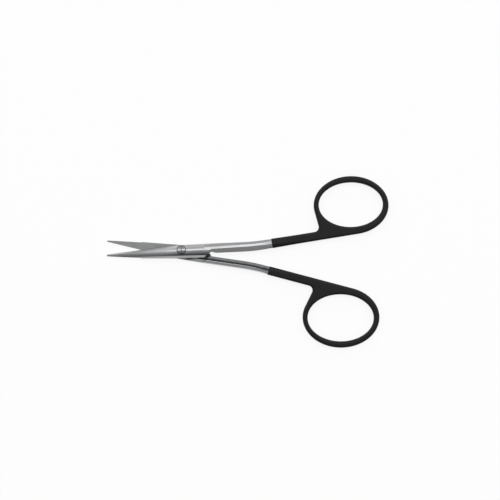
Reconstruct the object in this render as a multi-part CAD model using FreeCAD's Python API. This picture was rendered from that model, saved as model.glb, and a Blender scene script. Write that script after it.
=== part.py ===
import FreeCAD, Part
import math
import os

# Straight surgical scissors: two crossing steel halves, black handle coats and a pivot screw.
# Lengths are millimetres and angles are degrees.
# Each half is drawn closed, in its own frame: x runs from the tip to the finger ring, y = 0 is the
# centre line of the closed scissors, z = 0 is the plane where the halves meet, and the half's own
# blade lies above it. The finished frame has its origin on the pivot axis, on the resting plane.

V = FreeCAD.Vector

# Opening as photographed, and how far the pivot sits off the closed centre line
OPEN_ANGLE = 10.85
PIVOT_OFFSET = 1.0

# Heights at the joint
LAP_HEIGHT = 1.90
TAIL_PROUD = 0.05
JOINT_GAP = 0.04

# Handle coat
COAT = 0.12

# Blade and lap, as drawn from above
TIP_X = -30.4
TIP_CORNER_R = 0.25
GRIND_X = -16.0
GRIND_STEP = 0.22
GRIND_STEP_LENGTH = 0.8
HEEL_X = -2.0
BACK_SWELL = 0.05
LAP_CORNER_R = 1.2
SHOULDER_CORNER_R = 0.35
NOTCH_END_X = 14.1
LAP_RAMP_X = 13.0
LAP_RUN_OUT_X = 15.2

# Rounded outer face of blade and lap: height of its top, its radius and where its top runs
MID_BLADE_X = -6.0
MID_BLADE_SAG = 0.06
GRIND_CROWN_Y = 0.35
GRIND_HEIGHT = 1.45
GRIND_CROWN_R = 2.30
TIP_HEIGHT = 0.45
TIP_CROWN_R = 1.50
RUN_OUT_HEIGHT = 0.70
FACET_SLOPE = 20.0
LEDGE_LINE_Y = -1.40
LEDGE_LINE_SLOPE = -0.022
LEDGE_STEP = 0.08
LEDGE_TILT = 0.06

# Closing stop, and the room that each half leaves for the other
SHOULDER_GAP = 0.03
RELIEF_GAP = 0.75
RELIEF_NOSE_R = 0.8
RELIEF_HOLLOW = 0.80
GROOVE_START_X = 2.6
GROOVE_FADE = 4.0
GROOVE_RUN_OUT = 5.6
GROOVE_END_LEVEL = 1.15
GROOVE_STEPS = 16
LEAST_HOLLOW = 0.01

# Ground faces along the blade
EDGE_LAND = 0.10
EDGE_BEVEL_ANGLE = 55.0
EDGE_BEVEL_END_X = -1.7
SHOULDER_EDGE_HEIGHT = 0.90
SHOULDER_EDGE_ANGLE = 52.0
SHOULDER_EDGE_REACH = 2.0

# Shank heights: at the joint, and where it runs into the ring
SHANK_START_X = 9.4
SHANK_HALF_HEIGHT = 1.80
SHANK_OUTER_SIDE = 0.98
SHANK_INNER_SIDE = 1.40
RIDGE_FLAT = 0.82
RIDGE_TILT = 0.13
RIDGE_SHIFT = 0.48
RIDGE_SHIFT_AT_LAP = 0.10
RIDGE_SWING = 0.6
BACK_RIDGE_FLAT = 1.00
BACK_RIDGE_TILT = 0.05
BACK_RIDGE_SHIFT = 0.75
FACET_BULGE = 0.02
BEND_REACH = 4.5
BEND_STEPS = 9
FLATTEN_STEPS = 6
RING_HALF_HEIGHT = 1.30
RING_EDGE_R = 0.80
RING_LEAD = 5.5
RING_END_WALL = 1.93
RING_SIDE_WALL = 2.58
NECK_FILLET_R = 2.1

# Pivot screw and its seats
HEAD_R = 1.75
HEAD_HEIGHT = 0.76
HEAD_EDGE_R = 0.22
SLOT_WIDTH = 0.45
SLOT_DEPTH = 0.34
SLOT_ANGLE = 92.8
THREAD_R = 1.00
BORE_CLEARANCE = 0.03
HEAD_CLEARANCE = 0.05
HEAD_FLOAT = 0.03
HEAD_BELOW_CROWN = 0.14
TAIL_R = 1.35
TAIL_SEAT_DEPTH = 0.40

# What differs between the two halves
FRONT = {
    "pivot_y": PIVOT_OFFSET,
    "tip_back_y": -0.32,
    "tip_edge_y": 0.42,
    "edge_y": 2.88,
    "grind_back_y": -1.62,
    "lap_back_y": -2.53,
    "lap_end_x": 9.8,
    "shoulder_x": 12.0,
    "shoulder_y": -0.35,
    "crown_y": 0.25,
    "crown_r": 2.7,
    "facet_y": 1.60,
    "ledge_end_x": 11.0,
    "shank_y": 1.01,
    "shank_width": 3.88,
    "bend_x": 29.42,
    "bend_angle": 6.64,
    "handle_width": 3.40,
    "coat_start": 7.45,
    "ring_along": 41.68,
    "ring_a": 15.08,
    "ring_b": 11.73,
    "ring_tilt": -2.5,
    "hole_shift_along": -0.07,
    "hole_shift_across": 0.26,
    "hole_tilt": -1.6,
    "neck_angle": -77.0,
}
REAR = {
    "pivot_y": -PIVOT_OFFSET,
    "tip_back_y": -0.40,
    "tip_edge_y": 0.12,
    "edge_y": 2.84,
    "grind_back_y": -1.60,
    "lap_back_y": -2.86,
    "lap_end_x": 9.8,
    "shoulder_x": 12.6,
    "shoulder_y": -0.10,
    "crown_y": -0.40,
    "crown_r": 6.0,
    "facet_y": 1.80,
    "ledge_end_x": -5.0,
    "shank_y": 1.52,
    "shank_width": 3.24,
    "bend_x": 29.50,
    "bend_angle": 6.58,
    "handle_width": 3.30,
    "coat_start": 6.75,
    "ring_along": 40.08,
    "ring_a": 15.48,
    "ring_b": 12.23,
    "ring_tilt": -8.4,
    "hole_shift_along": -0.06,
    "hole_shift_across": 0.28,
    "hole_tilt": -7.6,
    "neck_angle": -72.0,
}

# Large enough to reach past the part on any side, and how far a cut runs past what it cuts
FAR = 60.0
OVERRUN = 2.0
OVERLAP = 0.1

# Steepest slope that the rounded face reaches on the ground tip and the lap's end
STEEPEST_ANGLE = 67.0


def direction(angle):
    return V(math.cos(math.radians(angle)), math.sin(math.radians(angle)), 0)


def left_of(d):
    return V(-d.y, d.x, 0)


def prism(points, bottom, top):
    """A flat-sided solid over a plan outline, between two heights."""
    ring = [V(p.x, p.y, bottom) for p in points]
    face = Part.Face(Part.makePolygon(ring + [ring[0]]))
    return face.extrude(V(0, 0, top - bottom))


def wire_prism(wire, bottom, top):
    face = Part.Face(wire)
    face.translate(V(0, 0, bottom))
    return face.extrude(V(0, 0, top - bottom))


def corner_arc(before, corner, after, radius):
    """The arc that rounds a plan corner: its start, middle and end."""
    a = (before - corner).normalize()
    b = (after - corner).normalize()
    half = a.getAngle(b) / 2
    reach = radius / math.tan(half)
    bisector = (a + b).normalize()
    centre = corner + bisector * (radius / math.sin(half))
    return corner + a * reach, centre - bisector * radius, corner + b * reach


def outline(points, radii):
    """A closed plan wire of straight sides whose named corners are rounded."""
    edges = []
    count = len(points)
    arcs = []
    for i, p in enumerate(points):
        if i in radii:
            arcs.append(corner_arc(points[i - 1], p, points[(i + 1) % count], radii[i]))
        else:
            arcs.append((p, None, p))
    for i, (start, middle, end) in enumerate(arcs):
        if middle is not None:
            edges.append(Part.Arc(start, middle, end).toShape())
        edges.append(Part.makeLine(end, arcs[(i + 1) % count][0]))
    return Part.Wire(edges)


def line_y(p, q, x):
    return p.y + (q.y - p.y) * (x - p.x) / (q.x - p.x)


def shank_inner_y(half):
    return half["shank_y"] - half["shank_width"] / 2


def shank_outer_y(half):
    return half["shank_y"] + half["shank_width"] / 2


def edge_line(half):
    """The straight cutting edge, from the tip to where it meets the lap."""
    return V(TIP_X, half["tip_edge_y"], 0), V(HEEL_X, half["edge_y"], 0)


def blade_outline(half):
    """Blade and lap from above, from the tip to a cut across the shank."""
    tip, heel = edge_line(half)
    points = [
        V(TIP_X, half["tip_back_y"], 0),
        V(GRIND_X - GRIND_STEP_LENGTH, half["grind_back_y"], 0),
        V(GRIND_X, half["grind_back_y"] - GRIND_STEP, 0),
        V(HEEL_X, half["lap_back_y"] + BACK_SWELL, 0),
        V(half["lap_end_x"], half["lap_back_y"], 0),
        V(half["shoulder_x"], half["shoulder_y"], 0),
        V(NOTCH_END_X, shank_inner_y(half), 0),
        V(LAP_RUN_OUT_X, shank_inner_y(half), 0),
        V(LAP_RUN_OUT_X, shank_outer_y(half), 0),
        heel,
        tip,
    ]
    return outline(points, {0: TIP_CORNER_R, 4: LAP_CORNER_R, 5: SHOULDER_CORNER_R, 10: TIP_CORNER_R})


def crown_z(crown, y):
    """Height of the rounded face at y. A crown is its top's y, its top's height and its radius."""
    top_y, top_z, radius = crown
    return top_z - radius + math.sqrt(radius * radius - (y - top_y) ** 2)


def room_section(x, crown, back_y, facet_y, back_points):
    """One cross-section of the room under the outer face: back, rounded face, then a flat facet
    that falls to the outer side, over a floor below the meeting plane."""
    reach = FAR / 15
    low = -FAR / 20
    facet_z = crown_z(crown, facet_y)
    fall = (reach - facet_y) * math.tan(math.radians(FACET_SLOPE))
    back = (back_y, crown_z(crown, back_y))
    top = (crown[0], crown[1])
    front = (facet_y, facet_z)
    end = (reach, facet_z - fall)
    arc = Part.Arc(*[V(x, *p) for p in (back, top, front)]).toShape()
    corners = [front, end, (reach, low), (-reach, low)] + back_points + [back]
    sides = [Part.makeLine(V(x, *a), V(x, *b)) for a, b in zip(corners, corners[1:])]
    return Part.Wire([arc] + sides)


def plain_section(x, crown, facet_y):
    """The rounded face runs down to a steep back."""
    back_y = crown[0] - crown[2] * math.sin(math.radians(STEEPEST_ANGLE))
    wall_z = crown_z(crown, back_y) - OVERRUN / 2
    return room_section(x, crown, back_y, facet_y, [(-FAR / 15, wall_z)])


def ledge_section(x, crown, facet_y):
    """The rounded face ends in a small step, and a nearly flat ledge runs along the back."""
    step_y = LEDGE_LINE_Y + LEDGE_LINE_SLOPE * x
    ledge_z = crown_z(crown, step_y) - LEDGE_STEP
    back_z = ledge_z - LEDGE_TILT * (FAR / 15 + step_y)
    return room_section(x, crown, step_y, facet_y, [(-FAR / 15, back_z), (step_y, ledge_z)])


def crown_rooms(half):
    """The outer face of blade and lap in three lengths: ground tip, ledged blade, plain lap end."""
    y = half["crown_y"]
    r = half["crown_r"]
    facet = half["facet_y"]
    ledge_end = half["ledge_end_x"]
    ground = (GRIND_CROWN_Y, GRIND_HEIGHT, GRIND_CROWN_R)
    ground_facet = GRIND_CROWN_Y + GRIND_CROWN_R / 2
    tip = (GRIND_CROWN_Y, TIP_HEIGHT, TIP_CROWN_R)
    lap = (y, LAP_HEIGHT, r)
    lengths = [
        [
            plain_section(TIP_X - OVERRUN, tip, GRIND_CROWN_Y + TIP_CROWN_R / 2),
            plain_section(GRIND_X, ground, ground_facet),
        ],
        [
            ledge_section(GRIND_X, ground, ground_facet),
            ledge_section(MID_BLADE_X, (y, LAP_HEIGHT - MID_BLADE_SAG, r), facet),
            ledge_section(ledge_end, lap, facet),
        ],
        [
            plain_section(ledge_end, lap, facet),
            plain_section(LAP_RAMP_X, (y, SHANK_HALF_HEIGHT, r), facet),
            plain_section(LAP_RUN_OUT_X + OVERLAP, (y, RUN_OUT_HEIGHT, r), facet),
        ],
    ]
    return [Part.makeLoft(wires, True, True) for wires in lengths]


def plane_cutter(start, end, edge_z, angle, inward):
    """Removes what lies over a sloping plane through a plan line, rising towards the inside."""
    along = end - start
    slope = math.tan(math.radians(angle))
    out = FAR / 30
    deep = FAR / 15
    top = V(0, 0, FAR / 5)
    section = [
        start - inward * out + V(0, 0, edge_z - out * slope),
        start + inward * deep + V(0, 0, edge_z + deep * slope),
        start + inward * deep + top,
        start - inward * out + top,
    ]
    return Part.Face(Part.makePolygon(section + [section[0]])).extrude(along)


def blade_and_lap(half):
    plan = wire_prism(blade_outline(half), JOINT_GAP / 2, FAR / 10)
    lengths = [plan.common(room) for room in crown_rooms(half)]
    body = lengths[0].fuse(lengths[1:]).removeSplitter()
    tip, heel = edge_line(half)
    along = (heel - tip).normalize()
    bevel_start = tip - along * OVERRUN
    bevel_end = V(EDGE_BEVEL_END_X, line_y(tip, heel, EDGE_BEVEL_END_X), 0)
    bevel = plane_cutter(bevel_start, bevel_end, EDGE_LAND, EDGE_BEVEL_ANGLE, left_of(along) * -1)
    corner = V(half["lap_end_x"], half["lap_back_y"], 0)
    shoulder = V(half["shoulder_x"], half["shoulder_y"], 0)
    slant = (shoulder - corner).normalize()
    inward = left_of(slant)
    start = corner - slant * OVERRUN
    end = shoulder + slant * SHOULDER_EDGE_REACH
    edge = plane_cutter(start, end, SHOULDER_EDGE_HEIGHT, SHOULDER_EDGE_ANGLE, inward)
    return body.cut(bevel).cut(edge)


def bend_point(half):
    return V(half["bend_x"], half["shank_y"], 0)


def handle_axis(half):
    return direction(half["bend_angle"])


def shank_section(origin, along, own_side, back_side):
    """One closed cross-section of the shank. A side is its inner, ridge and outer points, then the
    middles of its two facets. The back side lies below the meeting plane."""
    across = left_of(along)

    def at(point, sign):
        return origin + across * point[0] + V(0, 0, point[1] * sign)

    def face(side, sign):
        inner, first, last, outer, inner_middle, outer_middle = side
        return [
            Part.Arc(at(inner, sign), at(inner_middle, sign), at(first, sign)).toShape(),
            Part.makeLine(at(first, sign), at(last, sign)),
            Part.Arc(at(last, sign), at(outer_middle, sign), at(outer, sign)).toShape(),
        ]

    top = face(own_side, 1)
    bottom = face(back_side, -1)
    outer_wall = Part.makeLine(at(own_side[3], 1), at(back_side[3], -1))
    inner_wall = Part.makeLine(at(own_side[0], 1), at(back_side[0], -1))
    return Part.Wire(top + [outer_wall] + bottom[::-1] + [inner_wall])


def facet_middle(low, high, bulge):
    """The middle of a facet, pushed outwards by its bulge. Outwards is away from the centre."""
    dy = high[0] - low[0]
    dz = high[1] - low[1]
    length = math.hypot(dy, dz)
    sign = -1 if dy > 0 else 1
    middle_y = (low[0] + high[0]) / 2 + sign * bulge * dz / length
    middle_z = (low[1] + high[1]) / 2 + bulge * abs(dy) / length
    return middle_y, middle_z


def shank_side(width, height, sides, flat, shift, tilt, bulge):
    """One broad side of the shank's cross-section: two facets with a nearly flat ridge between."""
    inner = (-width / 2, sides[0])
    outer = (width / 2, sides[1])
    first = (shift - flat / 2, height)
    last = (shift + flat / 2, height - tilt)
    return (inner, first, last, outer, facet_middle(inner, first, bulge), facet_middle(outer, last, bulge))


def smooth_step(value):
    t = min(max(value, 0.0), 1.0)
    return t * t * (3 - 2 * t)


def blend(first, last, share):
    return first + (last - first) * share


def shank_place(half, stop):
    """A point on the shank's centre line and its direction there, measured along from the bend."""
    bend = bend_point(half)
    ahead = V(1, 0, 0)
    axis = handle_axis(half)
    if stop <= -BEND_REACH:
        return bend + ahead * stop, ahead
    if stop >= BEND_REACH:
        return bend + axis * stop, axis
    t = (stop + BEND_REACH) / (2 * BEND_REACH)
    enter = bend - ahead * BEND_REACH
    leave = bend + axis * BEND_REACH
    point = enter * (1 - t) ** 2 + bend * (2 * t * (1 - t)) + leave * t ** 2
    along = ((bend - enter) * (1 - t) + (leave - bend) * t).normalize()
    return point, along


def plate_start(half):
    """Where the shank runs into the flat ring plate, measured along from the bend."""
    return half["ring_along"] - half["ring_a"] - RING_LEAD


def slimming(half, stop):
    return smooth_step((stop + BEND_REACH) / (plate_start(half) + BEND_REACH))


def shank_half_width(half, stop):
    return blend(half["shank_width"], half["handle_width"], slimming(half, stop)) / 2


def shank_wire(half, stop, skin):
    """The shank's cross-section at a distance from the bend, grown by a skin."""
    origin, along = shank_place(half, stop)
    run = half["bend_x"] - SHANK_START_X
    flattening = smooth_step(stop / plate_start(half))
    width = 2 * (shank_half_width(half, stop) + skin)
    height = blend(SHANK_HALF_HEIGHT, RING_HALF_HEIGHT, slimming(half, stop)) + skin
    end_side = RING_HALF_HEIGHT - RING_EDGE_R
    sides = [blend(side, end_side, flattening) for side in (SHANK_INNER_SIDE, SHANK_OUTER_SIDE)]
    arc_rise = (RING_EDGE_R + skin) * (1 - math.sqrt(0.5))
    bulge = blend(FACET_BULGE, arc_rise, flattening)
    end_flat = half["handle_width"] - 2 * RING_EDGE_R
    swing = smooth_step((stop + run) / (run * RIDGE_SWING))
    shift = blend(blend(RIDGE_SHIFT_AT_LAP, RIDGE_SHIFT, swing), 0.0, flattening)
    flat = blend(RIDGE_FLAT, end_flat, flattening)
    tilt = blend(RIDGE_TILT, 0.0, flattening)
    back_flat = blend(BACK_RIDGE_FLAT, end_flat, flattening)
    back_shift = blend(BACK_RIDGE_SHIFT, 0.0, flattening)
    back_tilt = blend(BACK_RIDGE_TILT, 0.0, flattening)
    own = shank_side(width, height, sides, flat, shift, tilt, bulge)
    back = shank_side(width, height, sides, back_flat, back_shift, back_tilt, bulge)
    return shank_section(origin, along, own, back)


def shank(half, skin):
    """The bent shank, from inside the lap to where the ring plate starts."""
    stops = [SHANK_START_X - half["bend_x"], -BEND_REACH]
    stops += [BEND_REACH * (2 * i / BEND_STEPS - 1) for i in range(1, BEND_STEPS + 1)]
    rest = plate_start(half) - BEND_REACH
    stops += [BEND_REACH + rest * i / FLATTEN_STEPS for i in range(1, FLATTEN_STEPS + 1)]
    return Part.makeLoft([shank_wire(half, stop, skin) for stop in stops], True, True)


def ellipse(centre, semi_major, semi_minor, tilt):
    major = centre + direction(tilt) * semi_major
    minor = centre + left_of(direction(tilt)) * semi_minor
    return Part.Ellipse(major, minor, centre)


def touch_offset(semi_major, semi_minor, tilt, tangent_angle):
    """From an ellipse's centre to where a line of the given direction touches it on its right."""
    turn = math.radians(tangent_angle - tilt)
    s = math.sin(turn)
    c = math.cos(turn)
    size = math.hypot(semi_major * s, semi_minor * c)
    local = V(semi_major ** 2 * s / size, -semi_minor ** 2 * c / size, 0)
    d = direction(tilt)
    return d * local.x + left_of(d) * local.y


def ring_centre(half):
    """The ring sits where its outline just touches the shank's straight inner side."""
    axis = handle_axis(half)
    touch = touch_offset(half["ring_a"], half["ring_b"], half["ring_tilt"], half["bend_angle"])
    across = -touch.dot(left_of(axis)) - half["handle_width"] / 2
    return bend_point(half) + axis * half["ring_along"] + left_of(axis) * across


def ring_plate(half, skin):
    """Finger ring, web and the end of the shank, with rounded edges all round."""
    bend = bend_point(half)
    axis = handle_axis(half)
    across = left_of(axis)
    w = half["handle_width"] / 2 + skin
    a = half["ring_a"] + skin
    b = half["ring_b"] + skin
    tilt = half["ring_tilt"]
    centre = ring_centre(half)
    oval = ellipse(centre, a, b, tilt)
    start = bend + axis * plate_start(half)
    inner_start = start - across * w
    outer_start = start + across * w
    inner_touch = centre + touch_offset(a, b, tilt, half["bend_angle"])
    neck = direction(half["neck_angle"])
    neck_touch = centre + touch_offset(a, b, tilt, half["neck_angle"])
    # where the neck line meets the shank's outer side
    offset = neck_touch - outer_start
    travel = -offset.dot(across) / neck.dot(across)
    corner = neck_touch + neck * travel
    arc = corner_arc(neck_touch, corner, outer_start, NECK_FILLET_R - skin)
    first = oval.parameter(inner_touch)
    last = oval.parameter(neck_touch)
    if last < first:
        last += 2 * math.pi
    edges = [
        Part.makeLine(inner_start, inner_touch),
        oval.toShape(first, last),
        Part.makeLine(neck_touch, arc[0]),
        Part.Arc(*arc).toShape(),
        Part.makeLine(arc[2], outer_start),
        Part.makeLine(outer_start, inner_start),
    ]
    h = RING_HALF_HEIGHT + skin
    plate = wire_prism(Part.Wire(edges), -h, h)
    hole_centre = centre + axis * half["hole_shift_along"] + across * half["hole_shift_across"]
    hole_a = half["ring_a"] - RING_END_WALL - skin
    hole_b = half["ring_b"] - RING_SIDE_WALL - skin
    hole = ellipse(hole_centre, hole_a, hole_b, half["hole_tilt"])
    plate = plate.cut(wire_prism(Part.Wire([hole.toShape()]), -h - OVERRUN, h + OVERRUN))
    rims = []
    for edge in plate.Edges:
        box = edge.BoundBox
        level = box.ZMax - box.ZMin < 1e-6
        on_cut = edge.CenterOfMass.distanceToPoint(V(start.x, start.y, edge.CenterOfMass.z)) < OVERLAP
        if level and not on_cut:
            rims.append(edge)
    return plate.makeFillet(RING_EDGE_R + skin, rims)


def handle_form(half, skin):
    return shank(half, skin).fuse(ring_plate(half, skin)).removeSplitter()


def notch_cutter(half):
    """The small see-through nick between lap and shank."""
    y = shank_inner_y(half)
    x0 = half["shoulder_x"]
    y0 = half["shoulder_y"]
    low = y - OVERRUN / 2
    points = [
        V(x0 - (y0 - low) / shoulder_slope(half), low, 0),
        V(x0, y0, 0),
        V(NOTCH_END_X, y, 0),
        V(NOTCH_END_X, low, 0),
    ]
    return prism(points, -FAR / 10, FAR / 10)


def shoulder_slope(half):
    return (half["shoulder_y"] - half["lap_back_y"]) / (half["shoulder_x"] - half["lap_end_x"])


def relief_at_lap(other):
    """The room below the meeting plane that the other half's blade and lap take. It ends at the
    slanted shoulder that is the closing stop."""
    wall = RELIEF_GAP - shank_inner_y(other)
    slope = shoulder_slope(other)
    shift = SHOULDER_GAP * math.hypot(1.0, slope) / slope

    def stop_x(y):
        return other["shoulder_x"] - (y + other["shoulder_y"]) / slope + shift

    points = [
        V(-FAR, -FAR, 0),
        V(-FAR, FAR / 6, 0),
        V(stop_x(FAR / 6), FAR / 6, 0),
        V(stop_x(wall), wall, 0),
        V(LAP_RUN_OUT_X, wall, 0),
        V(LAP_RUN_OUT_X, -FAR, 0),
    ]
    return wire_prism(outline(points, {3: RELIEF_NOSE_R}), -FAR / 10, JOINT_GAP / 2)


def relief_wire(half, other, stop):
    """Cross-section of the hollow along the shank's back: its floor falls away towards its wall."""
    origin, along = shank_place(half, stop)
    across = left_of(along)
    fade = smooth_step((stop + half["bend_x"] - GROOVE_START_X) / GROOVE_FADE)
    rise = smooth_step((stop - GROOVE_RUN_OUT) / (half["coat_start"] - GROOVE_RUN_OUT))
    level = blend(JOINT_GAP / 2, -GROOVE_END_LEVEL, rise)
    hollow = max(RELIEF_HOLLOW * fade, LEAST_HOLLOW)
    inner = -shank_half_width(half, stop)
    wall = inner - shank_inner_y(half) - shank_inner_y(other) + RELIEF_GAP
    low = -FAR / 10
    out = inner - FAR / 60

    def at(y, z):
        return origin + across * y + V(0, 0, z)

    start = at(inner, level)
    foot = at(wall, level + hollow)
    floor = Part.Arc(start, at((inner + wall) / 2, level + hollow / 4), foot)
    corners = [foot, at(wall, low), at(out, low), at(out, level), start]
    sides = [Part.makeLine(a, b) for a, b in zip(corners, corners[1:])]
    return Part.Wire([floor.toShape()] + sides)


def relief_groove(half, other):
    """The hollow that takes the other half's shank. It runs out where the coat starts."""
    start = GROOVE_START_X - half["bend_x"]
    length = half["coat_start"] - start
    stops = [start + length * i / GROOVE_STEPS for i in range(GROOVE_STEPS + 1)]
    return Part.makeLoft([relief_wire(half, other, stop) for stop in stops], True, True)


def steel_half(half, other):
    """One forging: blade, lap, shank and finger ring in one piece."""
    handle = handle_form(half, 0.0).cut(relief_at_lap(other)).cut(notch_cutter(half))
    return blade_and_lap(half).fuse(handle).cut(relief_groove(half, other)).removeSplitter()


def handle_coat(half):
    """The thin black coat over ring, web and the ring end of the shank."""
    axis = handle_axis(half)
    across = left_of(axis)
    start = bend_point(half) + axis * half["coat_start"]
    points = [
        start - across * FAR,
        start + axis * FAR - across * FAR,
        start + axis * FAR + across * FAR,
        start + across * FAR,
    ]
    side = prism(points, -FAR / 10, FAR / 10)
    return handle_form(half, COAT).common(side).cut(handle_form(half, 0.0))


def bore(half, radius, bottom, top):
    return Part.makeCylinder(radius, top - bottom, V(0, half["pivot_y"], bottom))


def head_seat_z():
    return LAP_HEIGHT - HEAD_BELOW_CROWN - HEAD_HEIGHT - HEAD_FLOAT


def front_half():
    body = steel_half(FRONT, REAR)
    seat = bore(FRONT, HEAD_R + HEAD_CLEARANCE, head_seat_z(), FAR / 10)
    hole = bore(FRONT, THREAD_R + BORE_CLEARANCE, -OVERRUN, FAR / 10)
    return body.cut(seat).cut(hole)


def tail_seat_z():
    return LAP_HEIGHT - TAIL_SEAT_DEPTH


def rear_half():
    body = steel_half(REAR, FRONT)
    hole = bore(REAR, THREAD_R, -OVERRUN, FAR / 10)
    seat = bore(REAR, TAIL_R, tail_seat_z(), FAR / 10)
    return body.cut(hole).cut(seat)


def pivot_screw():
    """Slotted screw on the pivot axis, drawn from the head down; z = 0 is the meeting plane."""
    head_top = LAP_HEIGHT - HEAD_BELOW_CROWN
    head_low = head_top - HEAD_HEIGHT
    tail_end = -LAP_HEIGHT - TAIL_PROUD
    tail_low = -tail_seat_z()
    r = HEAD_EDGE_R
    bulge = r * (1 - math.sqrt(0.5))
    profile = [
        Part.makeLine(V(0, 0, tail_end), V(TAIL_R - r, 0, tail_end)),
        Part.Arc(
            V(TAIL_R - r, 0, tail_end), V(TAIL_R - bulge, 0, tail_end + bulge), V(TAIL_R, 0, tail_end + r)
        ).toShape(),
        Part.makeLine(V(TAIL_R, 0, tail_end + r), V(TAIL_R, 0, tail_low)),
        Part.makeLine(V(TAIL_R, 0, tail_low), V(THREAD_R, 0, tail_low)),
        Part.makeLine(V(THREAD_R, 0, tail_low), V(THREAD_R, 0, head_low)),
        Part.makeLine(V(THREAD_R, 0, head_low), V(HEAD_R, 0, head_low)),
        Part.makeLine(V(HEAD_R, 0, head_low), V(HEAD_R, 0, head_top - r)),
        Part.Arc(
            V(HEAD_R, 0, head_top - r), V(HEAD_R - bulge, 0, head_top - bulge), V(HEAD_R - r, 0, head_top)
        ).toShape(),
        Part.makeLine(V(HEAD_R - r, 0, head_top), V(0, 0, head_top)),
        Part.makeLine(V(0, 0, head_top), V(0, 0, tail_end)),
    ]
    body = Part.Face(Part.Wire(profile)).revolve(V(0, 0, 0), V(0, 0, 1), 360)
    length = 3 * HEAD_R
    corner = V(-length / 2, -SLOT_WIDTH / 2, head_top - SLOT_DEPTH)
    slot = Part.makeBox(length, SLOT_WIDTH, OVERRUN, corner)
    slot.rotate(V(0, 0, 0), V(0, 0, 1), SLOT_ANGLE)
    return body.cut(slot)


def meeting_z():
    return LAP_HEIGHT + TAIL_PROUD


def place_front(shape):
    shape.translate(V(0, -PIVOT_OFFSET, 0))
    shape.rotate(V(0, 0, 0), V(0, 0, 1), OPEN_ANGLE / 2)
    shape.translate(V(0, 0, meeting_z()))
    return shape


def place_rear(shape):
    shape.rotate(V(0, 0, 0), V(1, 0, 0), 180)
    shape.translate(V(0, -PIVOT_OFFSET, 0))
    shape.rotate(V(0, 0, 0), V(0, 0, 1), -OPEN_ANGLE / 2)
    shape.translate(V(0, 0, meeting_z()))
    return shape


def place_screw(shape):
    shape.translate(V(0, 0, meeting_z()))
    return shape


NODES = {
    "front_half": place_front(front_half()),
    "rear_half": place_rear(rear_half()),
    "front_handle_coat": place_front(handle_coat(FRONT)),
    "rear_handle_coat": place_rear(handle_coat(REAR)),
    "pivot_screw": place_screw(pivot_screw()),
}

os.makedirs("parts", exist_ok=True)
for name, shape in NODES.items():
    solid = shape.Solids[0] if len(shape.Solids) == 1 else shape
    solid.exportStep("parts/" + name + ".step")
    print(name, "solids", len(shape.Solids), "valid", shape.isValid(), "volume", round(shape.Volume, 3))
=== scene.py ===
# %% [markdown]
# # Surgical scissors
# This lesson dresses a pair of fine surgical scissors: blades and shanks of satin steel, finger
# rings with a thin black coat, and one slotted screw. Their shapes come from a CAD model, which is
# loaded as a fixed frame, so its pieces are never moved or reshaped here. Blender adds what CAD
# can't give: the finish of each surface, a plain studio and the camera.
# Lengths are metres. The origin lies on the pivot's axis, +X points to the finger rings and +Z up
# to the screw's slot.

# %% Load the fixed frame
import math

import bmesh
import bpy
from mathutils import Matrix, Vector


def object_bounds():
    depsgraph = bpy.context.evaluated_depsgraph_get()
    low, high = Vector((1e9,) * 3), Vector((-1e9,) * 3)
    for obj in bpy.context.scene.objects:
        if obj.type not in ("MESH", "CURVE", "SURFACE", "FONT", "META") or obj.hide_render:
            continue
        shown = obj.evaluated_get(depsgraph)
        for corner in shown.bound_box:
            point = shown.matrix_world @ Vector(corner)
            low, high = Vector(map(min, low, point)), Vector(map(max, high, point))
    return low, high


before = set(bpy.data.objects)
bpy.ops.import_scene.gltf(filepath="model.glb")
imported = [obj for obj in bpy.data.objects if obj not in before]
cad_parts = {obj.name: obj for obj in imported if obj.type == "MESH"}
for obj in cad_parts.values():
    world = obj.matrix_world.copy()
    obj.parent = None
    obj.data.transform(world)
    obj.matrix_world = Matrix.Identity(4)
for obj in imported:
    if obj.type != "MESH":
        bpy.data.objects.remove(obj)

MM = 0.001
cad_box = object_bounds()
print("pieces:", sorted(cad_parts))
print("size in mm:", [round((high - low) / MM, 1) for low, high in zip(*cad_box)])

# %% [markdown]
# ## One helper for every node
# A procedural material is a small network of nodes that Blender works out anew at every point of a
# surface, so it needs no picture and stays sharp close up. Each node could be made and joined in
# lines of its own, but then a network is hard to read. Here one function adds a node of any kind,
# sets its options and joins its inputs, so a network reads as a list of what it does.

# %% Add a node
def add(tree, kind, settings=None, **inputs):
    """Adds a node with its settings and its inputs.

    An input is a value, an output to link, or a node whose first output is linked. It is named
    as in Blender with _ for a space, or by its number as in0, in1 and so on.
    """
    node = tree.nodes.new(kind)
    for key, value in (settings or {}).items():
        setattr(node, key, value)
    for key, value in inputs.items():
        socket = node.inputs[int(key[2:]) if key.startswith("in") else key.replace("_", " ")]
        if isinstance(value, bpy.types.Node):
            value = value.outputs[0]
        if isinstance(value, bpy.types.NodeSocket):
            tree.links.new(value, socket)
        else:
            socket.default_value = value
    return node


kinds = [name for name in dir(bpy.types) if name.startswith("ShaderNode")]
print("kinds of shader nodes to choose from:", len(kinds))

# %% [markdown]
# ## Satin steel: the grinding lines
# Both halves are forged from stainless steel, ground along their length on a fine belt and then
# satin brushed. The belt leaves lines that all run one way. An image of brushed metal could show
# them, but it would repeat, and the halves would have to be unwrapped for it. A noise texture needs
# neither: stretched along the blade, it turns into lines.
# Each half lies turned by half of the opening angle, so its lines are turned with it. A Mapping
# node of the Texture type turns first and stretches along the turned axes. The Point type
# stretches first, and then the lines would run askew.

# %% Grinding lines
HALF_OPENING = math.radians(10.85 / 2)
# The real lines are about 0.02 mm apart. That is too fine to show, so they are drawn coarser.
GRIND_LINE = 0.15 * MM
GRIND_STRETCH = 70.0
GRIND_DETAIL = 3.0
GRIND_CRISPNESS = 0.6


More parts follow.
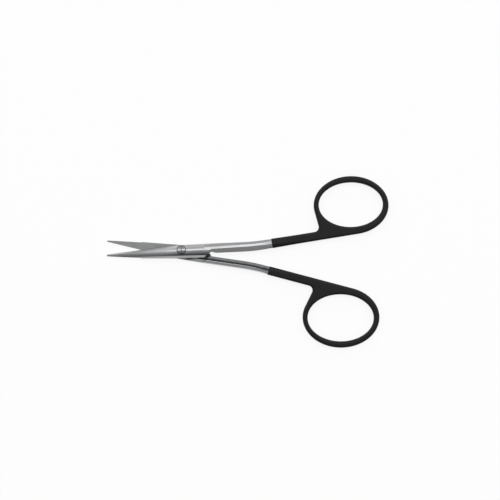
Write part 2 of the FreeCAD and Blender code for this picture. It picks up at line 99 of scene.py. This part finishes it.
def grinding_lines(tree, place, turn):
    """Grey values in fine lines along a half that lies turned by this angle."""
    turned = add(
        tree,
        "ShaderNodeMapping",
        {"vector_type": "TEXTURE"},
        Vector=place.outputs["Object"],
        Rotation=(0.0, 0.0, turn),
        Scale=(GRIND_STRETCH, 1.0, 1.0),
    )
    return add(
        tree,
        "ShaderNodeTexNoise",
        Vector=turned,
        Scale=1.0 / GRIND_LINE,
        Detail=GRIND_DETAIL,
        Roughness=GRIND_CRISPNESS,
    )


print("lines", round(GRIND_LINE / MM, 2), "mm apart, turned by", math.degrees(HALF_OPENING))

# %% [markdown]
# ## Satin steel: how rough it is
# Roughness says how far a highlight spreads, and satin steel has about 0.3. On the real scissors
# it changes finely from line to line, and slowly where a hand held the polishing cloth longer. The
# blades come off a coarser belt than the shanks, and the faces where the halves slide on each
# other are finer than the rest.
# One roughness map could hold all this, but it would have to be painted. Here each cause is a
# value of its own, and the values are added up. Which side of a half a point lies on follows from
# its normal: the front half meets the rear half with its underside, and the rear half with its
# upper side.

# %% Soft patches
PATCH_SIZE = 6.0 * MM
PATCH_DETAIL = 2.0


def soft_patches(tree, place):
    """Grey values that change slowly over the surface."""
    return add(
        tree,
        "ShaderNodeTexNoise",
        Vector=place.outputs["Object"],
        Scale=1.0 / PATCH_SIZE,
        Detail=PATCH_DETAIL,
    )


print("patches", round(PATCH_SIZE / MM, 1), "mm wide")

# %% Roughness of the steel
# A noise texture seldom leaves this span of grey values, so the span is what gets mapped.
NOISE_LOW = 0.3
NOISE_HIGH = 0.7
NOISE_SPAN = {"From_Min": NOISE_LOW, "From_Max": NOISE_HIGH}
SATIN_ROUGHNESS = {"To_Min": 0.24, "To_Max": 0.36}
PATCH_ROUGHNESS = {"To_Min": -0.03, "To_Max": 0.03}
BLADE_ROUGHNESS = 0.20
BLADE_END_X = -8.0 * MM
PIVOT_X = 0.0
MEETING_FACE_ROUGHNESS = -0.06


def steel_roughness(tree, place, lines, outside):
    """The roughness of a half whose outer side faces up (outside 1) or down (outside -1)."""
    patches = soft_patches(tree, place)
    fine = add(tree, "ShaderNodeMapRange", Value=lines, **NOISE_SPAN, **SATIN_ROUGHNESS)
    slow = add(tree, "ShaderNodeMapRange", Value=patches, **NOISE_SPAN, **PATCH_ROUGHNESS)
    point = add(tree, "ShaderNodeSeparateXYZ", Vector=place.outputs["Object"])
    belt = add(
        tree,
        "ShaderNodeMapRange",
        Value=point.outputs["X"],
        From_Min=BLADE_END_X,
        From_Max=PIVOT_X,
        To_Min=BLADE_ROUGHNESS,
        To_Max=0.0,
    )
    normal = add(tree, "ShaderNodeSeparateXYZ", Vector=place.outputs["Normal"])
    # From -1 on the meeting face over 0 on upright walls to 1 on the outer side.
    facing = add(
        tree, "ShaderNodeMath", {"operation": "MULTIPLY"}, in0=normal.outputs["Z"], in1=outside
    )
    ground = add(
        tree,
        "ShaderNodeMapRange",
        Value=facing,
        From_Min=-1.0,
        From_Max=0.0,
        To_Min=MEETING_FACE_ROUGHNESS,
        To_Max=belt,
    )
    polished = add(tree, "ShaderNodeMath", {"operation": "ADD"}, in0=fine, in1=slow)
    return add(tree, "ShaderNodeMath", {"operation": "ADD"}, in0=polished, in1=ground)


print("roughness of the shanks:", list(SATIN_ROUGHNESS.values()))
print("more on the blades:", BLADE_ROUGHNESS, "and on the meeting faces:", MEETING_FACE_ROUGHNESS)

# %% [markdown]
# ## Satin steel: painted shade in the nooks
# The groove along a shank and the corner beside a lap lie in shade, and that shade is painted
# into the steel's colour. Such places could be painted by hand, but would stay behind when a shape
# changes.
# The Ambient Occlusion node measures how closed in a point is, and a Map Range node turns that
# into a factor for the colour.

# %% Dark nooks
NOOK_REACH = 1.6 * MM
NOOK_SAMPLES = 12
# A nook is darkest where its surroundings are at most this open, and clear from the second on.
NOOK_SHUT = 0.40
NOOK_OPEN = 0.90
NOOK_TONE = 0.50


def nook_painted_shade(tree, reach):
    """Painted shade: a factor for the colour, 1 in the open and darker where walls stand within
    reach.
    """
    nook = add(tree, "ShaderNodeAmbientOcclusion", {"samples": NOOK_SAMPLES}, Distance=reach)
    return add(
        tree,
        "ShaderNodeMapRange",
        Value=nook.outputs["AO"],
        From_Min=NOOK_SHUT,
        From_Max=NOOK_OPEN,
        To_Min=NOOK_TONE,
        To_Max=1.0,
    )


print("nooks darken the steel to a share of", NOOK_TONE)

# %% [markdown]
# ## Satin steel: painted shadow at the lap and round the screw
# Shadow falls at a few known places: at the end of each lap, along its edge and in the gap round
# the screw's head, and it is painted into the colour there. These are soft spots with a fixed
# place, so each is drawn by its distance from that place. A Mapping node of the Texture type moves
# the place to the origin and stretches the round spot to a long one.
# Both halves are made from one pattern, so each spot of the front half is turned over for the rear
# half. The ring round the head follows from the distance to the pivot's axis.

# %% Painted shadow at the lap
MEETING_PLANE = 1.95 * MM
PAINTED_SHADOW_TONE = 0.10
# Places and lengths are millimetres on the front half, from the pivot and up from the meeting
# plane, and turns are degrees. A spot is dark up to its core and gone at its reach.
# Painted shadow in the recess under the end of the lap.
LAP_CORNER = {
    "x": 10.60, "y": -2.12, "rise": 0.42, "turn": 50.4,
    "stretch": (1.8, 1.0, 1.0), "core": 0.60, "reach": 1.35,
}
# Painted shadow in the gap along the lap's lower edge.
LAP_EDGE = {
    "x": 3.30, "y": -3.48, "rise": 0.45, "turn": 4.0,
    "stretch": (5.2, 1.0, 2.0), "core": 0.20, "reach": 0.64,
}


def painted_shadow_spot(tree, place, spot, side):
    """Painted shadow in a spot on the front half (side 1), or turned over for the rear half (-1).
    """
    local = add(
        tree,
        "ShaderNodeMapping",
        {"vector_type": "TEXTURE"},
        Vector=place.outputs["Object"],
        Location=(spot["x"] * MM, side * spot["y"] * MM, MEETING_PLANE + side * spot["rise"] * MM),
        Rotation=(0.0, 0.0, side * math.radians(spot["turn"])),
        Scale=spot["stretch"],
    )
    away = add(tree, "ShaderNodeVectorMath", {"operation": "LENGTH"}, in0=local)
    return add(
        tree,
        "ShaderNodeMapRange",
        {"interpolation_type": "SMOOTHSTEP"},
        Value=away.outputs["Value"],
        From_Min=spot["core"] * MM,
        From_Max=spot["reach"] * MM,
        To_Min=PAINTED_SHADOW_TONE,
        To_Max=1.0,
    )


# Places of the painted shadow spots on the front half.
print("oil at", [(spot["x"], spot["y"]) for spot in (LAP_CORNER, LAP_EDGE)], "mm from the pivot")

# %% Painted shade round the screw's head
# A ring of painted shade in the gap round the head.
HEAD_RIM = 1.78 * MM
RIM_CORE = 0.06 * MM
RIM_REACH = 0.34 * MM
RIM_TONE = 0.55


def head_rim_painted_shade(tree, place):
    """Painted shade: a dark ring round the pivot, in the gap where the screw's head meets its seat.
    """
    flat = add(
        tree,
        "ShaderNodeVectorMath",
        {"operation": "MULTIPLY"},
        in0=place.outputs["Object"],
        in1=(1.0, 1.0, 0.0),
    )
    radius = add(tree, "ShaderNodeVectorMath", {"operation": "LENGTH"}, in0=flat)
    past_rim = add(
        tree,
        "ShaderNodeMath",
        {"operation": "SUBTRACT"},
        in0=radius.outputs["Value"],
        in1=HEAD_RIM,
    )
    away = add(tree, "ShaderNodeMath", {"operation": "ABSOLUTE"}, in0=past_rim)
    return add(
        tree,
        "ShaderNodeMapRange",
        {"interpolation_type": "SMOOTHSTEP"},
        Value=away,
        From_Min=RIM_CORE,
        From_Max=RIM_REACH,
        To_Min=RIM_TONE,
        To_Max=1.0,
    )


print("dark ring", round(2 * HEAD_RIM / MM, 2), "mm across")

# %% [markdown]
# ## Satin steel: the ledge on the blade's back
# A narrow ledge runs along the back of each blade. The belt leaves its outer edge a touch high, so
# the ledge leans inwards by a few degrees and shows as a lighter line. The solid's ledge is level.
# A Bump node gives it that lean: its height rises evenly from the ledge's inner line outwards,
# which tilts the shading beyond that line and leaves the rest of the half alone.

# %% Lean of the ledge
LEDGE_LINE_Y = -2.40 * MM
# The rise goes on past the ledge's outer edge.
LEDGE_RISE_WIDTH = 1.0 * MM
LEDGE_LEAN = 0.10


def leaning_ledge(tree, place, turn, outside, relief):
    """The normals of the relief, tilted on the ledge of a half that lies turned."""
    upright = add(
        tree, "ShaderNodeMapping", Vector=place.outputs["Object"], Rotation=(0.0, 0.0, -turn)
    )
    across = add(tree, "ShaderNodeSeparateXYZ", Vector=upright)
    height = add(
        tree,
        "ShaderNodeMapRange",
        Value=across.outputs["Y"],
        From_Min=outside * (LEDGE_LINE_Y - LEDGE_RISE_WIDTH),
        From_Max=outside * LEDGE_LINE_Y,
        To_Min=LEDGE_LEAN * LEDGE_RISE_WIDTH,
        To_Max=0.0,
    )
    return add(tree, "ShaderNodeBump", Distance=1.0, Height=height, Normal=relief)


print("the ledge leans by", round(math.degrees(math.atan(LEDGE_LEAN)), 1), "degrees")

# %% [markdown]
# ## Colours and materials
# Colours are written as in a paint program, as sRGB hex values. Blender calculates with linear
# light, so one function turns them into linear values.
# A material could be taken from a library, but then its scale and tone belong to another object.
# Each one here starts as an empty network, and is then put into the slots that the piece has from
# the CAD model.

# %% Helpers for colours
def linear(hex_colour):
    """An sRGB hex colour such as "8A8D90" as linear RGBA."""
    parts = [int(hex_colour[i:i + 2], 16) / 255 for i in (0, 2, 4)]
    return [p / 12.92 if p <= 0.04045 else ((p + 0.055) / 1.055) ** 2.4 for p in parts] + [1.0]


def set_stops(ramp, stops):
    """Gives a colour ramp its stops, each a position and a linear colour."""
    while len(ramp.elements) < len(stops):
        ramp.elements.new(0.5)
    for element, (position, colour) in zip(ramp.elements, stops):
        element.position = position
        element.color = colour


print("the mid grey 808080 in linear light:", round(linear("808080")[0], 3))

# %% Helpers for materials
def new_material(name):
    """A new material and its empty network."""
    material = bpy.data.materials.new(name)
    material.use_nodes = True
    material.node_tree.nodes.clear()
    return material, material.node_tree


def dress(piece, material):
    """Gives a CAD piece its finish, in each of its material slots."""
    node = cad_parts[piece]
    if not node.material_slots:
        node.data.materials.append(material)
    for slot in node.material_slots:
        slot.material = material
    print(piece, "->", material.name)


print("pieces to dress:", len(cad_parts))

# %% [markdown]
# ## Satin steel: the material
# Now the parts come together in one Principled shader. It is a full metal of a light, slightly cool
# grey, a little darker in the depth of the lines. The lines also make a very low relief, which
# spreads highlights across the blade, as on the real satin finish. Anisotropic shading could do
# that as well, but its direction needs unwrapped pieces.
# Each half gets a material of its own, because its lines, its ledge and its outer side lie
# differently.

# %% Satin steel
STEEL_DARK = "BFC0C2"
STEEL_LIGHT = "D2D3D4"
GRIND_RELIEF = 0.12
GRIND_DEPTH = 0.01 * MM


def product(tree, factors):
    """All factors multiplied."""
    total = factors[0]
    for factor in factors[1:]:
        total = add(tree, "ShaderNodeMath", {"operation": "MULTIPLY"}, in0=total, in1=factor)
    return total


def satin_steel(name, turn, outside):
    """Satin brushed stainless steel: a soft grey shine that spreads across its fine lines.

    The half lies turned by this angle, and its outer side faces up (1) or down (-1).
    """
    material, tree = new_material(name)
    place = add(tree, "ShaderNodeTexCoord")
    lines = grinding_lines(tree, place, turn)
    tone = add(tree, "ShaderNodeValToRGB", Fac=lines)
    set_stops(
        tone.color_ramp, [(NOISE_LOW, linear(STEEL_DARK)), (NOISE_HIGH, linear(STEEL_LIGHT))]
    )
    # Painted shade in the nooks, and painted shadow at the lap and round the screw's head.
    painted_shades = [nook_painted_shade(tree, NOOK_REACH)]
    for spot in (LAP_CORNER, LAP_EDGE):
        painted_shades += [painted_shadow_spot(tree, place, spot, side) for side in (1, -1)]
    if outside > 0:  # only the front half holds the screw's head
        painted_shades.append(head_rim_painted_shade(tree, place))
    painted_shade_tone = add(
        tree,
        "ShaderNodeVectorMath",
        {"operation": "SCALE"},
        in0=tone,
        Scale=product(tree, painted_shades),
    )
    relief = add(
        tree, "ShaderNodeBump", Strength=GRIND_RELIEF, Distance=GRIND_DEPTH, Height=lines
    )
    shader = add(
        tree,
        "ShaderNodeBsdfPrincipled",
        Base_Color=painted_shade_tone,
        Metallic=1.0,
        Roughness=steel_roughness(tree, place, lines, outside),
        Normal=leaning_ledge(tree, place, turn, outside, relief),
    )
    add(tree, "ShaderNodeOutputMaterial", Surface=shader)
    return material


dress("front_half", satin_steel("satin_stainless_steel_front", HALF_OPENING, outside=1))
dress("rear_half", satin_steel("satin_stainless_steel_rear", -HALF_OPENING, outside=-1))

# %% [markdown]
# ## Black handle coat
# The rings and the ring ends of the shanks carry a thin black coat, sprayed on and baked. It looks
# nearly matt, is a little lighter than pure black, and has a fine orange-peel grain that breaks up
# its highlights. One plain black would be the simplest way, but the rings would lose their form in
# it. So the grain drives both roughness and relief, and soft patches shift the tone slightly.

# %% Black coat
COAT_GRAIN = 0.3 * MM
COAT_DETAIL = 3.0
COAT_DARK = "101111"
COAT_LIGHT = "191A1A"
COAT_ROUGHNESS = {"To_Min": 0.42, "To_Max": 0.58}
COAT_RELIEF = 0.25
COAT_DEPTH = 0.02 * MM
COAT_SHINE = 0.40


def black_coat():
    """A sprayed and baked coat: a deep, nearly matt black with soft, broken highlights."""
    material, tree = new_material("black_baked_coat")
    place = add(tree, "ShaderNodeTexCoord")
    grain = add(
        tree,
        "ShaderNodeTexNoise",
        Vector=place.outputs["Object"],
        Scale=1.0 / COAT_GRAIN,
        Detail=COAT_DETAIL,
    )
    tone = add(tree, "ShaderNodeValToRGB", Fac=soft_patches(tree, place))
    set_stops(
        tone.color_ramp, [(NOISE_LOW, linear(COAT_DARK)), (NOISE_HIGH, linear(COAT_LIGHT))]
    )
    gloss = add(tree, "ShaderNodeMapRange", Value=grain, **NOISE_SPAN, **COAT_ROUGHNESS)
    relief = add(tree, "ShaderNodeBump", Strength=COAT_RELIEF, Distance=COAT_DEPTH, Height=grain)
    shader = add(
        tree,
        "ShaderNodeBsdfPrincipled",
        Base_Color=tone,
        Roughness=gloss,
        Specular_IOR_Level=COAT_SHINE,
        Normal=relief,
    )
    add(tree, "ShaderNodeOutputMaterial", Surface=shader)
    return material


coat = black_coat()
dress("front_handle_coat", coat)
dress("rear_handle_coat", coat)

# %% [markdown]
# ## Pivot screw: the head
# After assembly the screw's head is ground together with the lap round it, so it is a little
# rounded across the scissors. Its solid is flat on top. As on the ledge, a Bump node gives it the
# rounding. Its height falls as a parabola does, which is close to a circle near its top.

# %% Rounded head
CROWN_RADIUS = 2.5 * MM
CROWN_OFFSET = 0.50 * MM


def rounded_head(tree, place, relief):
    """The normals of the relief, tilted as on a cylinder that lies along the front half."""
    turned = add(
        tree,
        "ShaderNodeMapping",
        Vector=place.outputs["Object"],
        Location=(0.0, CROWN_OFFSET, 0.0),
        Rotation=(0.0, 0.0, -HALF_OPENING),
    )
    across = add(tree, "ShaderNodeSeparateXYZ", Vector=turned).outputs["Y"]
    square = add(tree, "ShaderNodeMath", {"operation": "MULTIPLY"}, in0=across, in1=across)
    height = add(
        tree, "ShaderNodeMath", {"operation": "DIVIDE"}, in0=square, in1=-2.0 * CROWN_RADIUS
    )
    return add(tree, "ShaderNodeBump", Distance=1.0, Height=height, Normal=relief)


print("the head is rounded with a radius of", round(CROWN_RADIUS / MM, 1), "mm")

# %% [markdown]
# ## Pivot screw: turned steel
# The screw is turned on a lathe, and the tool leaves fine rings round its axis. They could be cut
# as real grooves, but they are far too shallow for that. A wave texture in rings draws them, and
# because the axis runs through the origin, the rings need no placing. Roughness and a low relief
# follow the rings. The slot and the rim of the head get the same painted shade as the halves.

# %% Turned screw steel
# The real rings are about 0.03 mm apart. That is too fine to show, so they are drawn coarser.
TURNING_STEP = 0.12 * MM
TURNING_WOBBLE = 0.6
TURNING_DETAIL = 2.0
# A wave texture of scale 1 repeats after this length.
WAVE_LENGTH = math.pi / 10.0
TURNING_RELIEF = 0.15
TURNING_DEPTH = 0.01 * MM
SCREW_ROUGHNESS = {"To_Min": 0.22, "To_Max": 0.34}
SCREW_STEEL = "B8B9BB"
SLOT_REACH = 0.6 * MM


def turned_steel():
    """Steel turned on a lathe: a fine shine in rings, a little darker than the halves."""
    material, tree = new_material("turned_screw_steel")
    place = add(tree, "ShaderNodeTexCoord")
    wave = add(
        tree,
        "ShaderNodeTexWave",
        {"wave_type": "RINGS", "rings_direction": "Z"},
        Vector=place.outputs["Object"],
        Scale=WAVE_LENGTH / TURNING_STEP,
        Distortion=TURNING_WOBBLE,
        Detail=TURNING_DETAIL,
    )
    rings = wave.outputs["Fac"]
    gloss = add(tree, "ShaderNodeMapRange", Value=rings, **SCREW_ROUGHNESS)
    relief = add(
        tree, "ShaderNodeBump", Strength=TURNING_RELIEF, Distance=TURNING_DEPTH, Height=rings
    )
    # Painted shade in the slot and in the gap round the head.
    painted_shades = [nook_painted_shade(tree, SLOT_REACH), head_rim_painted_shade(tree, place)]
    tone = add(
        tree,
        "ShaderNodeVectorMath",
        {"operation": "SCALE"},
        in0=linear(SCREW_STEEL)[:3],
        Scale=product(tree, painted_shades),
    )
    shader = add(
        tree,
        "ShaderNodeBsdfPrincipled",
        Base_Color=tone,
        Metallic=1.0,
        Roughness=gloss,
        Normal=rounded_head(tree, place, relief),
    )
    add(tree, "ShaderNodeOutputMaterial", Surface=shader)
    return material


dress("pivot_screw", turned_steel())

# %% [markdown]
# ## The floor
# The scissors lie on a white sheet that fills the picture. White paper under soft light still
# renders as a light grey, and with more light the steel would turn white too. So what the camera
# and the steel see of the sheet is mostly a white glow, with a small share of a real surface that
# takes the soft shadow. For all other light it is plain paper, which brightens the scissors from
# below.

# %% White sheet
PAPER_WHITE = "F4F4F4"
GLOW_WHITE = (1.0, 1.0, 1.0, 1.0)
SHADOW_SHARE = 0.12
SHADOW_GREY = 0.20


def white_sheet():
    """Matt white paper: an even white ground with one soft shadow."""
    material, tree = new_material("white_paper_sheet")
    paper = add(tree, "ShaderNodeBsdfDiffuse", Color=linear(PAPER_WHITE))
    glow = add(tree, "ShaderNodeEmission", Color=GLOW_WHITE, Strength=1.0 - SHADOW_SHARE)
    shade = add(tree, "ShaderNodeBsdfDiffuse", Color=(SHADOW_GREY, SHADOW_GREY, SHADOW_GREY, 1.0))
    shadowed = add(tree, "ShaderNodeAddShader", in0=glow, in1=shade)
    ray = add(tree, "ShaderNodeLightPath").outputs
    mirrored = add(
        tree,
        "ShaderNodeMath",
        {"operation": "MAXIMUM"},
        in0=ray["Is Glossy Ray"],
        in1=ray["Is Transmission Ray"],
    )
    seen = add(
        tree, "ShaderNodeMath", {"operation": "MAXIMUM"}, in0=ray["Is Camera Ray"], in1=mirrored
    )
    mix = add(tree, "ShaderNodeMixShader", in0=seen, in1=paper, in2=shadowed)
    add(tree, "ShaderNodeOutputMaterial", Surface=mix)
    return material


sheet_finish = white_sheet()
print("share of the surface that takes the shadow:", SHADOW_SHARE)

# %% Floor
FLOOR_SIZE = 4.0


def flat_sheet(name, size, height):
    """A square sheet that faces up."""
    mesh = bpy.data.meshes.new(name)
    shape = bmesh.new()
    corners = ((-1, -1), (1, -1), (1, 1), (-1, 1))
    shape.faces.new([shape.verts.new((x * size / 2, y * size / 2, height)) for x, y in corners])
    shape.to_mesh(mesh)
    shape.free()
    sheet = bpy.data.objects.new(name, mesh)
    bpy.context.scene.collection.objects.link(sheet)
    return sheet


floor_height = cad_box[0][2]
floor = flat_sheet("floor", FLOOR_SIZE, floor_height)
floor.data.materials.append(sheet_finish)
print("floor", FLOOR_SIZE, "m wide at a height of", round(floor_height / MM, 2), "mm")

# %% [markdown]
# ## The room
# Steel shows what stands round it, so its light is planned as a reflection. The world is a room in
# steps of grey: nearly black on the near side of the picture, mid grey above the scissors and
# lighter on the far side. Faces that lean to the near side turn dark and level ones turn mid grey.
# An image of a real room could be used, but a few named greys are easier to match.
# The grey follows from the direction alone: its dot product with the picture's up direction is -1
# on the near side and 1 on the far side.

# %% Room
PICTURE_ROLL = math.radians(2.82)
PICTURE_UP = Vector((math.sin(PICTURE_ROLL), math.cos(PICTURE_ROLL), 0.0))
# From the near side (0) over straight above (0.5) to the far side (1).
ROOM_LEVELS = [(0.0, 0.03), (0.10, 0.05), (0.27, 0.30), (0.5, 0.35), (1.0, 0.56)]


def graded_room():
    """Soft surroundings that brighten from the near side of the picture to the far side."""
    world = bpy.data.worlds.new("graded_room")
    world.use_nodes = True
    tree = world.node_tree
    tree.nodes.clear()
    direction = add(tree, "ShaderNodeTexCoord").outputs["Generated"]
    side = add(
        tree, "ShaderNodeVectorMath", {"operation": "DOT_PRODUCT"}, in0=direction, in1=PICTURE_UP
    )
    level = add(
        tree, "ShaderNodeMapRange", Value=side.outputs["Value"], From_Min=-1.0, From_Max=1.0
    )
    shade = add(tree, "ShaderNodeValToRGB", Fac=level)
    set_stops(
        shade.color_ramp, [(position, (grey, grey, grey, 1.0)) for position, grey in ROOM_LEVELS]
    )
    room = add(tree, "ShaderNodeBackground", Color=shade, Strength=1.0)
    add(tree, "ShaderNodeOutputWorld", Surface=room)
    return world


bpy.context.scene.world = graded_room()
print("the room's grey goes from", ROOM_LEVELS[0][1], "to", ROOM_LEVELS[-1][1])

# %% [markdown]
# ## The soft box
# One wide soft box hangs above, towards the far side of the picture. Only faces that lean a little
# that way mirror it, so the ridges of the shanks light up in bright strips and the rest keeps the
# greys of the room. A small lamp would give hard glints instead.

# %% Soft box
MIDDLE = Vector((28.0 * MM, 0.0, 2.0 * MM))


def soft_box(name, lean, distance, width, depth, power):
    """An area lamp that leans off the vertical, in degrees, towards the top of the picture."""
    lamp = bpy.data.lights.new(name, "AREA")
    lamp.shape = "RECTANGLE"
    lamp.size = width
    lamp.size_y = depth
    lamp.energy = power
    holder = bpy.data.objects.new(name, lamp)
    angle = math.radians(lean)
    away = PICTURE_UP * math.sin(angle) + Vector((0.0, 0.0, math.cos(angle)))
    holder.location = MIDDLE + away * distance
    holder.rotation_euler = away.to_track_quat("Z", "Y").to_euler()
    bpy.context.scene.collection.objects.link(holder)
    print(name, "hangs", round(holder.location.z, 2), "m high")


soft_box("far_soft_box", lean=23.0, distance=1.2, width=2.4, depth=0.40, power=4.6)

# %% [markdown]
# ## Camera
# The photograph looks straight down through a long lens, with the scissors turned a little in the
# picture. The distance could be found by trial. Here it follows from the lens, the sensor and the
# width that the picture covers at the height where the halves meet, so the scissors get their real
# size in the frame.

# %% Camera
LENS = 100.0
SENSOR = 36.0
PICTURE_WIDTH = 203.2 * MM
AIM_X = 27.81 * MM
AIM_Y = 1.25 * MM
NEAREST_SEEN = 10.0 * MM

camera_data = bpy.data.cameras.new("photo_camera")
camera_data.lens = LENS
camera_data.sensor_width = SENSOR
camera_data.clip_start = NEAREST_SEEN
camera = bpy.data.objects.new("photo_camera", camera_data)
camera.location = (AIM_X, AIM_Y, MEETING_PLANE + PICTURE_WIDTH * LENS / SENSOR)
camera.rotation_euler = (0.0, 0.0, PICTURE_ROLL)
bpy.context.scene.collection.objects.link(camera)
bpy.context.scene.camera = camera
print("camera height in mm:", round(camera.location.z / MM, 1))

# %% [markdown]
# ## Colour
# The Standard view shows colours as they are written.

# %% Finish
bpy.context.scene.view_settings.view_transform = "Standard"
